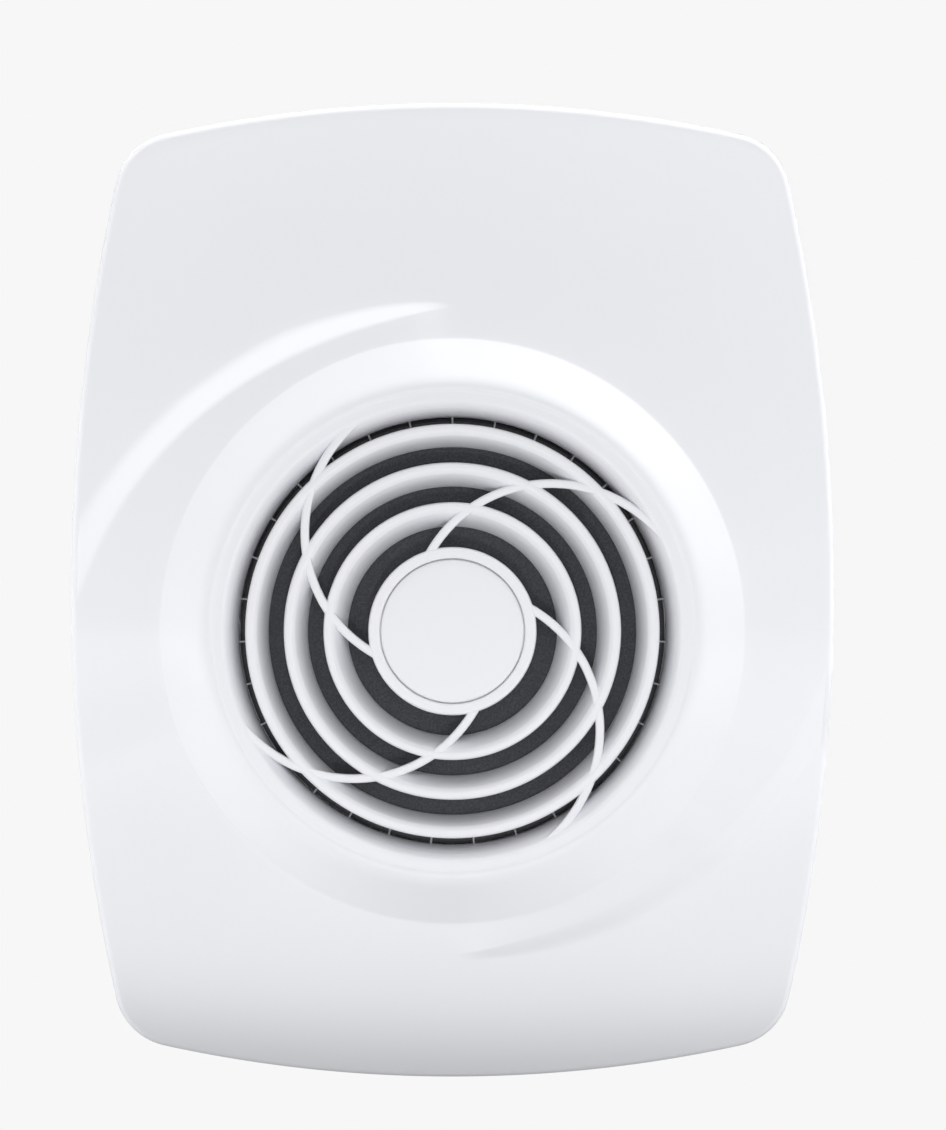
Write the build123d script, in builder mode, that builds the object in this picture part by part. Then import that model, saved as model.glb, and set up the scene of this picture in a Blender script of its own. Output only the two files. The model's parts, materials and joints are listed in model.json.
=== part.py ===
from build123d import *
import math
import os

os.makedirs("parts", exist_ok=True)

# Through-wall heat recovery unit with a swirl-grille room cover.
# Frame: X to the right, +Z up, Y into the wall. The wall's room face is the
# plane Y = 0 and the duct axis is the Y axis, so the room is at negative Y.
# "Front distance" F is the distance out from the wall: Y = -F.

# ---------------------------------------------------------------- dimensions
COVER_W = 234.8          # cover width at its widest
COVER_H = 300.0          # cover height at its tallest
COVER_CZ = 12.6          # the cover's centre is this far above the duct axis
SIDE_BOW = 583.0         # radius of the bowed left and right edges
TOP_BOW = 417.0          # radius of the bowed top and bottom edges
CORNER_R = 19.5
SKIN = 2.5               # moulded wall thickness of the cover
SKIRT_REAR = 9.0         # gap between wall and the cover's rear edge
EDGE_R = 3.0             # rounding where the face turns into the skirt
DOME_F = 45.0            # depth of the plain domed face over the axis
CREST_F = 50.5           # crest of the raised ring round the grille
CREST_R = 75.0
RING_BASE_R = 90.1       # where the ring's outer slope meets the face
SEAM_R = 73.95           # joint between cover and grille insert
SWOOSH_H = 4.0           # height of the two swept steps

GRILLE_F = 49.5          # front level of the grille rings
RINGS = ((39.65, 36.9, 31.5), (51.9, 48.9, 43.8), (63.7, 60.6, 55.9))
LOUVRE_REAR = 38.0
HUB_R = 25.9
BADGE_R = 22.0
SPOKES = 4
SPOKE_W = 2.8
WEBS = 31                # thin webs across the outermost slot

PLATE_T = 3.0            # chassis plate thickness
CHASSIS_INSET = 10.0
PIN_XZ = ((90.0, 45.0), (-90.0, 45.0), (82.0, -85.0), (-82.0, -85.0))
SCREW_DX, SCREW_DZ, SCREW_CZ = 160.0, 162.0, -19.0

WALL_T = 300.0           # wall thickness the sleeve is cut for
SLEEVE_RO, SLEEVE_RI = 76.0, 73.5
SPIGOT_RO, SPIGOT_RI = 73.2, 71.0
RECESS = 0.5                     # seat depth behind the plates that take the spigots

FAN_OPEN_R = 45.5        # extract fan opening in the chassis plate
TIP_R = 43.4             # extract impeller tip radius
BX, BZ = -42.0, 108.0    # supply blower axis
LUGS = ((-2.6, 114.9), (-81.0, 85.5), (-35.5, 144.6))

BOX_X0, BOX_X1, BOX_Z0, BOX_Z1 = 10.0, 88.0, 80.0, 138.0
CABLE_X, CABLE_Z = 30.0, 127.4

EX_Y0, EX_LEN, EX_HALF = 62.0, 180.0, 49.0   # heat exchanger block


def front(f):
    """The plane parallel to the wall, f mm out into the room, seen from the room."""
    return Plane.XZ.offset(f)


def save(part, name):
    part.label = name
    export_step(part, f"parts/{name}.step")


def smooth(t):
    t = max(0.0, min(1.0, t))
    return t * t * (3 - 2 * t)


def dome_depth(x, z):
    """Front distance of the cover's plain domed face."""
    u = abs(x) / (COVER_W / 2)
    v = abs(z - COVER_CZ) / (COVER_H / 2)
    return DOME_F - 6.5 * u**2.2 - 12.0 * v**2.2


def step_at(a):
    """Inner radius, outer radius and height of the swept step, `a` degrees after its tip."""
    r_in = 97 + 2.7 * math.exp(-a / 6) + (0.0046 * (a - 20) ** 2 if a > 20 else 0)
    r_out = 100 + 0.12 * a + 0.0022 * a * a
    h = smooth(a / 55) if a < 80 else 1 - smooth((a - 85) / 90)
    return r_in, max(r_out, r_in + 0.5), SWOOSH_H * h - 0.02


STEP_SECTIONS = (1.5, 8, 15, 22, 30, 38, 46, 54, 62, 70, 78, 86, 94, 102, 110, 118, 126, 134, 142, 150, 158, 166, 172, 178.5)


def cover_outline(inset):
    """The bowed rounded-rectangle outline of the cover, drawn in the current sketch."""
    w, h = COVER_W / 2, COVER_H / 2
    rs, rt = SIDE_BOW - inset, TOP_BOW - inset
    x = w
    for _ in range(60):
        z = h - TOP_BOW + math.sqrt(rt**2 - x**2)
        x = w - SIDE_BOW + math.sqrt(rs**2 - z**2)
    c = COVER_CZ
    with BuildLine() as edge:
        ThreePointArc((x, c + z), (0, c + h - inset), (-x, c + z))
        ThreePointArc((-x, c + z), (-w + inset, c), (-x, c - z))
        ThreePointArc((-x, c - z), (0, c - h + inset), (x, c - z))
        ThreePointArc((x, c - z), (w - inset, c), (x, c + z))
    make_face(edge.edges())
    fillet(vertices(), max(CORNER_R - inset, 2.0))


def profile(points):
    """A closed revolve profile from (radius, front distance) points, on the XY plane."""
    with BuildSketch(Plane.XY) as section:
        with BuildLine():
            Polyline(*[(r, -f) for r, f in points], close=True)
        make_face()
    return section.sketch


# ============================================================ COVER BODY
# ---- plain domed face as one spline surface, and the space behind it
GRID_X = [-130 + 260 * i / 16 for i in range(17)]
GRID_Z = [COVER_CZ - 164 + 328 * j / 20 for j in range(21)]
dome_face = Face.make_surface_from_array_of_points(
    [[Vector(x, -dome_depth(x, z), z) for z in GRID_Z] for x in GRID_X],
    tol=0.02, min_deg=3, max_deg=5,
)
behind_face = Solid.extrude(dome_face, Vector(0, 60, 0))
behind_skin = Solid.extrude(dome_face.moved(Location((0, SKIN, 0))), Vector(0, 60, 0))


def swept_section(a, theta):
    """Radial section through ring slope and swept step, `a` degrees after the step's tip."""
    t0 = math.radians(theta)
    r_in, r_out, h = step_at(a)

    def at(r, extra):
        return r, dome_depth(r * math.cos(t0), r * math.sin(t0)) + extra

    base_r, base_f = at(CREST_R + 15.1, h)
    top = [(CREST_R + 15.1 * t, CREST_F - (CREST_F - base_f) * t**1.5 - 0.02) for t in (0.12, 0.3, 0.5, 0.7, 0.86)]
    top += [at(CREST_R + 15.1 + (r_in - CREST_R - 15.1) * i / 6, h) for i in range(7)]
    top += [at(r_out, 0.0)]
    low = [at(r_out, -1.2)] + [at(CREST_R + 15.1 + (r_in - CREST_R - 15.1) * i / 6, -1.2) for i in (6, 4, 2, 0)]
    low += [(CREST_R + 15.1 * t, CREST_F - (CREST_F - at(CREST_R + 15.1, 0)[1]) * t**1.5 - 1.4) for t in (0.7, 0.4, 0.12)]
    place = Plane(origin=(0, 0, 0), x_dir=(math.cos(t0), 0, math.sin(t0)), z_dir=(math.sin(t0), 0, -math.cos(t0)))
    with BuildSketch(place) as section:
        with BuildLine() as edge:
            Polyline(*[(r, f) for r, f in top + low], close=True)
        make_face(edge.edges())
    return section.sketch


with BuildPart() as swept_steps:
    for start in (90.0, 270.0):
        loft([swept_section(a, start + a) for a in STEP_SECTIONS])
    with BuildSketch(front(SKIRT_REAR)):
        cover_outline(0)
    extrude(amount=60, mode=Mode.INTERSECT)

with BuildPart() as cover_cavity:
    with BuildSketch(front(SKIRT_REAR - 1)):
        cover_outline(SKIN)
    extrude(amount=60)
    add(behind_skin, mode=Mode.INTERSECT)

with BuildPart() as cover_pins:
    for px, pz in PIN_XZ:
        with BuildSketch(front(6)):
            with Locations((px, pz)):
                Circle(3.0)
        extrude(amount=50)
    add(behind_face.moved(Location((0, 1.0, 0))), mode=Mode.INTERSECT)
    # lead-in on the pin tips
    chamfer(edges().group_by(Axis.Y)[-1], 0.8)

with BuildPart() as front_cover:
    with BuildSketch(front(SKIRT_REAR)):
        cover_outline(0)
    extrude(amount=60)
    add(behind_face, mode=Mode.INTERSECT)
    add(cover_cavity.part, mode=Mode.SUBTRACT)
    with BuildSketch(front(20)):
        Circle(84.0)
    extrude(amount=40, mode=Mode.SUBTRACT)
    # raised ring: crest, convex outer slope, seam wall and insert ledge
    slope = [(CREST_R + 15.1 * t, CREST_F - 10.7 * t**1.5) for t in
             [0, 0.1, 0.2, 0.35, 0.5, 0.65, 0.8, 0.9, 1.0]]
    under = [(CREST_R + 15.1 * t - 1.6 * t + 0.4, CREST_F - SKIN - 0.4 - 10.0 * t**1.5) for t in
             [1.0, 0.8, 0.65, 0.5, 0.35, 0.2, 0.1]]
    revolve(profile([(SEAM_R, CREST_F - 0.4), (SEAM_R + 0.4, CREST_F)] + slope + [(91.6, 38.4), (91.0, 36.8)]
            + under + [(76.4, 47.0), (76.4, 43.0), (72.0, 43.0), (72.0, 47.9), (SEAM_R, 47.9)]), axis=Axis.Y)
    add(swept_steps.part)
    add(cover_pins.part)
save(front_cover.part, "front_cover")

# ---- swirl grille insert
SPOKE_FIT = (25.46, 0.424, 0.00629, -0.0000567)


def spoke_r(a):
    return SPOKE_FIT[0] + SPOKE_FIT[1] * a + SPOKE_FIT[2] * a * a + SPOKE_FIT[3] * a**3


def spoke_face(k):
    """One curved spoke in the sketch plane, from the hub rim out to the lip."""
    theta0 = 105.0 + 360.0 * k / SPOKES
    centre = []
    for i in range(12):
        a = -3 + 81.0 * i / 11
        r = spoke_r(max(a, 0)) if a >= 0 else spoke_r(0) + a * 0.42
        t = math.radians(theta0 - a)
        centre.append(Vector(r * math.cos(t), r * math.sin(t)))
    left, right = [], []
    for i, c in enumerate(centre):
        d = (centre[min(i + 1, 11)] - centre[max(i - 1, 0)]).normalized()
        n = Vector(-d.Y, d.X) * (SPOKE_W / 2)
        left.append(c + n)
        right.append(c - n)
    with BuildLine() as edge:
        Spline(*left)
        Line(left[-1], right[-1])
        Spline(*right[::-1])
        Line(right[0], left[0])
    make_face(edge.edges())


with BuildPart() as spokes:
    for k in range(SPOKES):
        with BuildSketch(front(43.5)):
            spoke_face(k)
        extrude(amount=GRILLE_F - 43.5)
    with BuildSketch(front(40)):
        Circle(71.3)
        Circle(24.0, mode=Mode.SUBTRACT)
    extrude(amount=12, mode=Mode.INTERSECT)

with BuildPart() as swirl_grille:
    # lip: flat crest band, steep inner cone and skirt
    revolve(profile([(73.8, 50.4), (70.4, 49.9), (66.6, 43.9), (65.7, 41.0), (65.7, 28.0), (67.7, 28.0),
             (67.7, 40.8), (71.6, 47.95), (73.8, 47.95)]), axis=Axis.Y)
    for ro, rb, ri in RINGS:
        revolve(profile([(ro, GRILLE_F - 1.6), (ro - 0.4, GRILLE_F - 0.4), (ro - 1.1, GRILLE_F), (rb + 0.6, GRILLE_F),
                 (rb, GRILLE_F - 0.7), (ri, LOUVRE_REAR), (ri + 1.4, LOUVRE_REAR)]), axis=Axis.Y)
    # hub cup with a pocket for the badge
    revolve(profile([(HUB_R, GRILLE_F - 1.6), (HUB_R - 0.4, GRILLE_F - 0.3), (HUB_R - 1.1, GRILLE_F + 0.2),
             (22.8, GRILLE_F + 0.2), (22.4, GRILLE_F - 0.3), (22.4, GRILLE_F - 2.8), (0, GRILLE_F - 2.8),
             (0, GRILLE_F - 4.6), (20.2, GRILLE_F - 4.6), (19.6, LOUVRE_REAR), (21.2, LOUVRE_REAR)]), axis=Axis.Y)
    add(spokes.part)
    # thin webs in the outermost slot
    with BuildSketch(front(37.6)):
        with PolarLocations(62.0, WEBS, start_angle=90):
            Rectangle(8.4, 1.0)
    extrude(amount=3.2)
    # lugs that hold the insert under the cover's ledge
    with BuildSketch(front(40.6)):
        with PolarLocations(70.0, 4, start_angle=45):
            Rectangle(6.0, 12.0)
    extrude(amount=2.3)
save(swirl_grille.part, "swirl_grille")

with BuildPart() as badge_disc:
    revolve(profile([(0, GRILLE_F - 2.7), (BADGE_R, GRILLE_F - 2.7), (BADGE_R, GRILLE_F - 0.4), (BADGE_R - 0.5, GRILLE_F),
             (12, GRILLE_F + 0.25), (0, GRILLE_F + 0.35)]), axis=Axis.Y)
save(badge_disc.part, "badge_disc")

with BuildPart() as extract_filter:
    with BuildSketch(front(31.0)):
        Circle(64.8)
    extrude(amount=5.6)
save(extract_filter.part, "extract_filter")

with BuildPart() as filter_frame:
    with BuildSketch(front(28.2)):
        Circle(65.4)
        Circle(61.0, mode=Mode.SUBTRACT)
    extrude(amount=2.8)
    with BuildSketch(front(28.2)):
        Rectangle(124.0, 2.6)
        Rectangle(2.6, 124.0)
        Circle(14.0)
        Circle(11.0, mode=Mode.SUBTRACT)
    extrude(amount=2.6)
save(filter_frame.part, "filter_frame")

# ============================================================ CHASSIS
with BuildPart() as chassis_plate:
    with BuildSketch(front(0)):
        cover_outline(CHASSIS_INSET)
    extrude(amount=PLATE_T)
    with BuildSketch(front(PLATE_T)):
        cover_outline(CHASSIS_INSET)
    extrude(amount=13.0)
    with BuildSketch(front(PLATE_T)):
        cover_outline(CHASSIS_INSET + 2.0)
    extrude(amount=13.5, mode=Mode.SUBTRACT)
    # fixing pads, push-fit bosses, fan and box bosses
    with BuildSketch(front(PLATE_T)):
        with Locations((0, SCREW_CZ)):
            with GridLocations(SCREW_DX, SCREW_DZ, 2, 2):
                Circle(7.0)
    extrude(amount=2.0)
    with BuildSketch(front(PLATE_T)):
        with Locations(*PIN_XZ):
            Circle(6.6)
    extrude(amount=10.0)
    with BuildSketch(front(PLATE_T)):
        with PolarLocations(54.0, 4, start_angle=45):
            Circle(3.6)
    extrude(amount=5.0)
    with BuildSketch(front(PLATE_T)):
        with Locations(*LUGS):
            Circle(3.2)
    extrude(amount=9.0)
    # ribs across the lower part
    with BuildSketch(front(PLATE_T)):
        with Locations((0, -95)):
            Rectangle(150, 1.6)
        with Locations((-50, -98), (0, -98), (50, -98)):
            Rectangle(1.6, 44)
    extrude(amount=5.0)
    # openings: extract fan, supply window, cable entry
    with BuildSketch(front(-1)):
        Circle(FAN_OPEN_R)
    extrude(amount=9.5, mode=Mode.SUBTRACT)
    with BuildSketch(front(-1)):
        Circle(69.0)
        with Locations((0, 49.6 - 60)):
            Rectangle(160, 120, mode=Mode.SUBTRACT)
    extrude(amount=5, mode=Mode.SUBTRACT)
    with BuildSketch(front(-1)):
        with Locations((CABLE_X, CABLE_Z)):
            Circle(7.0)
        with Locations((0, SCREW_CZ)):
            with GridLocations(SCREW_DX, SCREW_DZ, 2, 2):
                Circle(2.5)
    extrude(amount=8, mode=Mode.SUBTRACT)
    with BuildSketch(front(PLATE_T)):
        with Locations(*PIN_XZ):
            Circle(4.8)
    extrude(amount=10.5, mode=Mode.SUBTRACT)
    # pilot holes for the fan screws
    with BuildSketch(front(2.0)):
        with PolarLocations(54.0, 4, start_angle=45):
            Circle(1.2)
    extrude(amount=7, mode=Mode.SUBTRACT)
    with BuildSketch(front(4.0)):
        with Locations(*LUGS):
            Circle(1.2)
    extrude(amount=9, mode=Mode.SUBTRACT)
    # groove for the wall gasket, and a shallow recess inside it for the sleeve's end and the spigot
    with BuildSketch(front(0)):
        Circle(84.0)
        Circle(78.0, mode=Mode.SUBTRACT)
    extrude(amount=1.5, mode=Mode.SUBTRACT)
    with BuildSketch(front(0)):
        Circle(78.5)
    extrude(amount=RECESS, mode=Mode.SUBTRACT)
    # notch in the rim for the blower outlet
    with BuildSketch(front(11)):
        with Locations((-72.0, 145.0)):
            Rectangle(27.0, 14.0)
    extrude(amount=8, mode=Mode.SUBTRACT)
save(chassis_plate.part, "chassis_plate")

# ring that plugs into the wall sleeve, welded to the back of the plate
with BuildPart() as room_spigot:
    with BuildSketch(front(-25)):
        Circle(SPIGOT_RO)
        Circle(SPIGOT_RI, mode=Mode.SUBTRACT)
    extrude(amount=25 + RECESS)
save(room_spigot.part, "room_spigot")

with BuildPart() as wall_gasket:
    with BuildSketch(front(0)):
        Circle(83.9)
        Circle(78.1, mode=Mode.SUBTRACT)
    extrude(amount=1.5)
save(wall_gasket.part, "wall_gasket")

with BuildPart() as cover_grommets:
    with BuildSketch(front(PLATE_T)):
        with Locations(*PIN_XZ):
            Circle(4.75)
            Circle(3.1, mode=Mode.SUBTRACT)
    extrude(amount=9.0)
    with BuildSketch(front(13.0)):
        with Locations(*PIN_XZ):
            Circle(6.0)
            Circle(3.1, mode=Mode.SUBTRACT)
    extrude(amount=1.2)
    with BuildSketch(front(12.0)):
        with Locations(*PIN_XZ):
            Circle(4.75)
            Circle(3.1, mode=Mode.SUBTRACT)
    extrude(amount=1.0)
save(cover_grommets.part, "cover_grommets")

# ============================================================ WALL DUCT
with BuildPart() as wall_sleeve:
    with BuildSketch(front(-WALL_T)):
        Circle(SLEEVE_RO)
        Circle(SLEEVE_RI, mode=Mode.SUBTRACT)
    extrude(amount=WALL_T)
save(wall_sleeve.part, "wall_sleeve")

with BuildPart() as room_divider:
    with BuildSketch(Plane.YZ):
        with BuildLine():
            Polyline((-RECESS, 47.2), (-RECESS, 49.4), (0, 49.4), (EX_Y0 - 0.1, 1.0), (EX_Y0 - 0.1, -1.0),
                     (0, 47.2), close=True)
        make_face()
    extrude(amount=72, both=True)
    with BuildSketch(front(-70)):
        Circle(70.9)
    extrude(amount=71, mode=Mode.INTERSECT)
save(room_divider.part, "room_divider")


def hexagon(inset):
    """Side view of the counterflow block, in the YZ plane."""
    h, l0, l1 = EX_HALF - inset, EX_Y0, EX_Y0 + EX_LEN
    k = h
    with BuildLine() as edge:
        Polyline((l0, 0), (l0 + k, h), (l1 - k, h), (l1, 0), (l1 - k, -h), (l0 + k, -h), close=True)
    make_face(edge.edges())


with BuildPart() as exchanger_shell:
    with BuildSketch(Plane.YZ):
        hexagon(0)
    extrude(amount=EX_HALF, both=True)
    with BuildSketch(Plane.YZ):
        with Locations((EX_Y0 + EX_LEN / 2, 0)):
            Rectangle(EX_LEN + 20, 2 * (EX_HALF - 1.0))
    extrude(amount=EX_HALF - 1.5, both=True, mode=Mode.SUBTRACT)
save(exchanger_shell.part, "exchanger_shell")

PLATES, PITCH = 23, 4.0
with BuildPart() as exchanger_plates:
    for i in range(PLATES):
        x = (i - (PLATES - 1) / 2) * PITCH
        with BuildSketch(Plane.YZ.offset(x - 0.25)):
            hexagon(1.05)
        extrude(amount=0.5)
save(exchanger_plates.part, "exchanger_plates")

with BuildPart() as exchanger_edge_strips:
    h = EX_HALF - 1.1
    for i in range(PLATES - 1):
        x = (i - (PLATES - 2) / 2) * PITCH
        s = 1 if i % 2 else -1
        with BuildSketch(Plane.YZ.offset(x - 1.74)):
            with BuildLine():
                Polyline((EX_Y0 + 1.2, 0.6 * s), (EX_Y0 + h - 1.2, (h - 1.8) * s),
                         (EX_Y0 + h + 1.2, (h - 1.8) * s), (EX_Y0 + 3.6, 0.6 * s), close=True)
            make_face()
            with BuildLine():
                Polyline((EX_Y0 + EX_LEN - 1.2, 0.6 * s), (EX_Y0 + EX_LEN - h + 1.2, (h - 1.8) * s),
                         (EX_Y0 + EX_LEN - h - 1.2, (h - 1.8) * s), (EX_Y0 + EX_LEN - 3.6, 0.6 * s), close=True)
            make_face()
        extrude(amount=3.48)
save(exchanger_edge_strips.part, "exchanger_edge_strips")

with BuildPart() as exchanger_foam_collars:
    for y in (116.0, 172.0):
        with BuildSketch(front(-y - 16)):
            Circle(SLEEVE_RI - 0.1)
            Rectangle(2 * EX_HALF + 0.1, 2 * EX_HALF + 0.1, mode=Mode.SUBTRACT)
        extrude(amount=16)
save(exchanger_foam_collars.part, "exchanger_foam_collars")

with BuildPart() as outdoor_divider:
    with BuildSketch(Plane.XY.offset(-1.0)):
        with Locations((0, (EX_Y0 + EX_LEN + 0.1 + WALL_T + 1.8) / 2)):
            Rectangle(2 * 69.8, WALL_T + 1.8 - (EX_Y0 + EX_LEN + 0.1))
    extrude(amount=2.0)
save(outdoor_divider.part, "outdoor_divider")

with BuildPart() as outdoor_grille:
    with BuildSketch(front(-WALL_T - 3)):
        RectangleRounded(176, 176, 10)
        Circle(70.2, mode=Mode.SUBTRACT)
        with GridLocations(160, 160, 2, 2):
            Circle(2.25, mode=Mode.SUBTRACT)
    extrude(amount=3)
    with BuildSketch(front(-WALL_T - RECESS)):
        Circle(78.0)
    extrude(amount=RECESS, mode=Mode.SUBTRACT)
    with BuildSketch(front(-WALL_T - 20)):
        RectangleRounded(150, 150, 6)
        RectangleRounded(145, 145, 4, mode=Mode.SUBTRACT)
    extrude(amount=17.2)
    for i in range(9):
        zc = -64 + 16 * i
        with BuildSketch(Plane.YZ):
            with BuildLine():
                Polyline((WALL_T + 3.4, zc + 7.2), (WALL_T + 4.6, zc + 8.4), (WALL_T + 19.6, zc - 6.6),
                         (WALL_T + 19.6, zc - 9.0), close=True)
            make_face()
        extrude(amount=73.5, both=True)
save(outdoor_grille.part, "outdoor_grille")

with BuildPart() as outdoor_spigot:
    with BuildSketch(front(-WALL_T - RECESS)):
        Circle(SPIGOT_RO)
        Circle(SPIGOT_RI, mode=Mode.SUBTRACT)
    extrude(amount=25)
save(outdoor_spigot.part, "outdoor_spigot")

with BuildPart() as insect_mesh:
    with BuildSketch(front(-WALL_T - 2.8)):
        Circle(70.1)
        with GridLocations(9.2, 9.2, 14, 14):
            Rectangle(8.0, 8.0, mode=Mode.SUBTRACT)
        with BuildSketch(mode=Mode.PRIVATE) as rim:
            Circle(70.1)
            Circle(66.5, mode=Mode.SUBTRACT)
        add(rim.sketch)
    extrude(amount=0.8)
save(insect_mesh.part, "insect_mesh")

# ============================================================ EXTRACT FAN
STRUT_A = 20.0
CA, SA = math.cos(math.radians(STRUT_A)), math.sin(math.radians(STRUT_A))
with BuildPart() as extract_fan_housing:
    # shroud tube and bellmouth
    revolve(profile([(44.5, 3.1), (46.4, 3.1), (46.4, 22.0), (49.0, 24.2), (54.0, 25.6), (61.5, 25.8), (61.5, 27.4),
             (53.5, 27.2), (48.0, 25.6), (45.4, 23.2), (44.5, 21.0)]), axis=Axis.Y)
    # motor seat, bearing tube and struts
    revolve(profile([(0, 3.1), (12.5, 3.1), (12.5, 5.2), (5.5, 5.2), (5.5, 19.0), (3.6, 19.0), (3.6, 5.2), (0, 5.2)]), axis=Axis.Y)
    for k in range(3):
        with BuildSketch(front(3.1)):
            with PolarLocations(28.5, 1, start_angle=STRUT_A + 120 * k):
                Rectangle(33.0, 4.4)
        extrude(amount=3.0)
    # groove for the motor lead along one strut and out through the shroud
    with BuildSketch(Plane(origin=(0, -5.0, 0), x_dir=(-SA, 0, CA), z_dir=(CA, 0, SA)).offset(10.5)):
        Circle(1.1)
        with Locations((0, 0.8)):
            Rectangle(2.2, 1.6)
    extrude(amount=37.5, mode=Mode.SUBTRACT)
    # four ears on the chassis bosses
    with BuildSketch(front(8.0)):
        with PolarLocations(51.0, 4, start_angle=45):
            SlotOverall(13.0, 7.0)
        Circle(45.5, mode=Mode.SUBTRACT)
        with PolarLocations(54.0, 4, start_angle=45):
            Circle(1.6, mode=Mode.SUBTRACT)
    extrude(amount=2.2)
save(extract_fan_housing.part, "extract_fan_housing")

with BuildPart() as blade:
    for r, chord, pitch, thick in ((15.0, 18.0, 46.0, 1.8), (26.0, 20.5, 38.0, 1.6), (46.0, 24.0, 28.0, 1.2)):
        with BuildSketch(Plane(origin=(r, -15.0, 0), x_dir=(0, 0, 1), z_dir=(1, 0, 0)).rotated((0, 0, pitch))):
            RectangleRounded(chord, thick, thick / 2.02)
    loft()
    with BuildSketch(front(0)):
        Circle(TIP_R)
        Circle(17.3, mode=Mode.SUBTRACT)
    extrude(amount=40, mode=Mode.INTERSECT)

with BuildPart() as extract_impeller:
    revolve(profile([(17.0, 7.0), (18.5, 7.0), (18.5, 20.5), (17.0, 22.3), (13.0, 22.8), (0, 22.8), (0, 21.1), (17.0, 21.1)]), axis=Axis.Y)
    for k in range(7):
        add(blade.part.rotate(Axis.Y, 360.0 / 7 * k))
save(extract_impeller.part, "extract_impeller")

with BuildPart() as extract_rotor_cup:
    revolve(profile([(15.9, 7.5), (16.9, 7.5), (16.9, 21.0), (1.52, 21.0), (1.52, 19.9), (15.9, 19.9)]), axis=Axis.Y)
save(extract_rotor_cup.part, "extract_rotor_cup")

with BuildPart() as extract_magnet_ring:
    revolve(profile([(14.2, 8.2), (15.85, 8.2), (15.85, 19.4), (14.2, 19.4)]), axis=Axis.Y)
save(extract_magnet_ring.part, "extract_magnet_ring")

with BuildPart() as extract_shaft:
    revolve(profile([(0, 5.5), (1.5, 5.5), (1.5, 21.0), (0, 21.0)]), axis=Axis.Y)
save(extract_shaft.part, "extract_shaft")

with BuildPart() as extract_bearings:
    for f0, f1 in ((5.6, 9.0), (14.6, 18.0)):
        revolve(profile([(1.54, f0), (3.57, f0), (3.57, f1), (1.54, f1)]), axis=Axis.Y)
save(extract_bearings.part, "extract_bearings")

with BuildPart() as extract_stator:
    with BuildSketch(front(9.4)):
        Circle(8.2)
        with PolarLocations(9.5, 4, start_angle=45):
            Rectangle(4.4, 3.6)
        with BuildSketch(mode=Mode.PRIVATE) as shoes:
            Circle(13.2)
            Circle(11.4, mode=Mode.SUBTRACT)
            with PolarLocations(12.3, 4, start_angle=0):
                Rectangle(6.0, 4.0, mode=Mode.SUBTRACT)
        add(shoes.sketch)
        Circle(5.55, mode=Mode.SUBTRACT)
    extrude(amount=7.0)
save(extract_stator.part, "extract_stator")

with BuildPart() as extract_windings:
    for k in range(4):
        with BuildSketch(front(8.2)):
            with PolarLocations(9.7, 1, start_angle=45 + 90 * k):
                Rectangle(2.5, 5.6)
        extrude(amount=9.4)
    with BuildSketch(front(9.35)):
        with PolarLocations(9.5, 4, start_angle=45):
            Rectangle(5.0, 3.7)
    extrude(amount=7.1, mode=Mode.SUBTRACT)
save(extract_windings.part, "extract_windings")


def pan_screws(points, head_f, shank_len, shank_r, head_r, head_h):
    """Pan-head screws driven towards the wall, head seat at head_f."""
    with BuildSketch(front(head_f - shank_len)) as shank:
        with Locations(*points):
            Circle(shank_r)
    extrude(shank.sketch, amount=shank_len)
    with BuildSketch(front(head_f)) as head:
        with Locations(*points):
            Circle(head_r)
    extrude(head.sketch, amount=head_h)
    fillet(edges().filter_by(GeomType.CIRCLE).group_by(Axis.Y)[0], head_h * 0.35)
    with BuildSketch(front(head_f + head_h * 0.45)) as recess:
        with Locations(*points):
            Rectangle(head_r * 1.1, head_r * 0.25)
            Rectangle(head_r * 0.25, head_r * 1.1)
    extrude(recess.sketch, amount=head_h, mode=Mode.SUBTRACT)


FAN_SCREWS = [(54 * math.cos(math.radians(45 + 90 * k)), 54 * math.sin(math.radians(45 + 90 * k))) for k in range(4)]
with BuildPart() as extract_fan_screws:
    pan_screws(FAN_SCREWS, 10.2, 7.0, 1.15, 2.8, 1.8)
save(extract_fan_screws.part, "extract_fan_screws")

# ============================================================ SUPPLY BLOWER
BLOW_AXIS = Axis((BX, 0, BZ), (0, 1, 0))


def blow_profile(points):
    """A revolve profile about the blower's axis, from (radius, front distance) points."""
    with BuildSketch(Plane.XY.offset(BZ)) as section:
        with BuildLine():
            Polyline(*[(BX + r, -f) for r, f in points], close=True)
        make_face()
    return section.sketch


DUCT = [(-52, 48), (52, 48), (52, 66), (4, 75), (-16, 90), (-16, 132), (-68, 132), (-68, 84), (-52, 68)]
with BuildPart() as supply_duct:
    with BuildSketch(front(PLATE_T)):
        with BuildLine():
            Polyline(*DUCT, close=True)
        make_face()
        fillet(vertices(), 3.0)
    extrude(amount=9.0)
    with BuildSketch(front(PLATE_T)):
        with BuildLine():
            Polyline(*DUCT, close=True)
        make_face()
        fillet(vertices(), 3.0)
        offset(amount=-1.6, kind=Kind.ARC, mode=Mode.REPLACE)
    extrude(amount=7.5, mode=Mode.SUBTRACT)
    with BuildSketch(front(8)):
        with Locations((BX, BZ)):
            Circle(20.0)
    extrude(amount=6, mode=Mode.SUBTRACT)
save(supply_duct.part, "supply_duct")


def scroll_face(grow):
    """Outline of the blower scroll and its upward outlet, `grow` outside the airway."""
    pts = []
    for i in range(19):
        a = math.radians(115 - 295 * i / 18)
        r = 30.5 + 9.5 * i / 18 + grow
        pts.append((BX + r * math.cos(a), BZ + r * math.sin(a)))
    right = -60.5 + grow
    with BuildLine() as edge:
        Spline(*pts)
        Polyline(pts[-1], (pts[-1][0], BZ + 40), (right, BZ + 40), (right, 140), pts[0])
    make_face(edge.edges())


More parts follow.
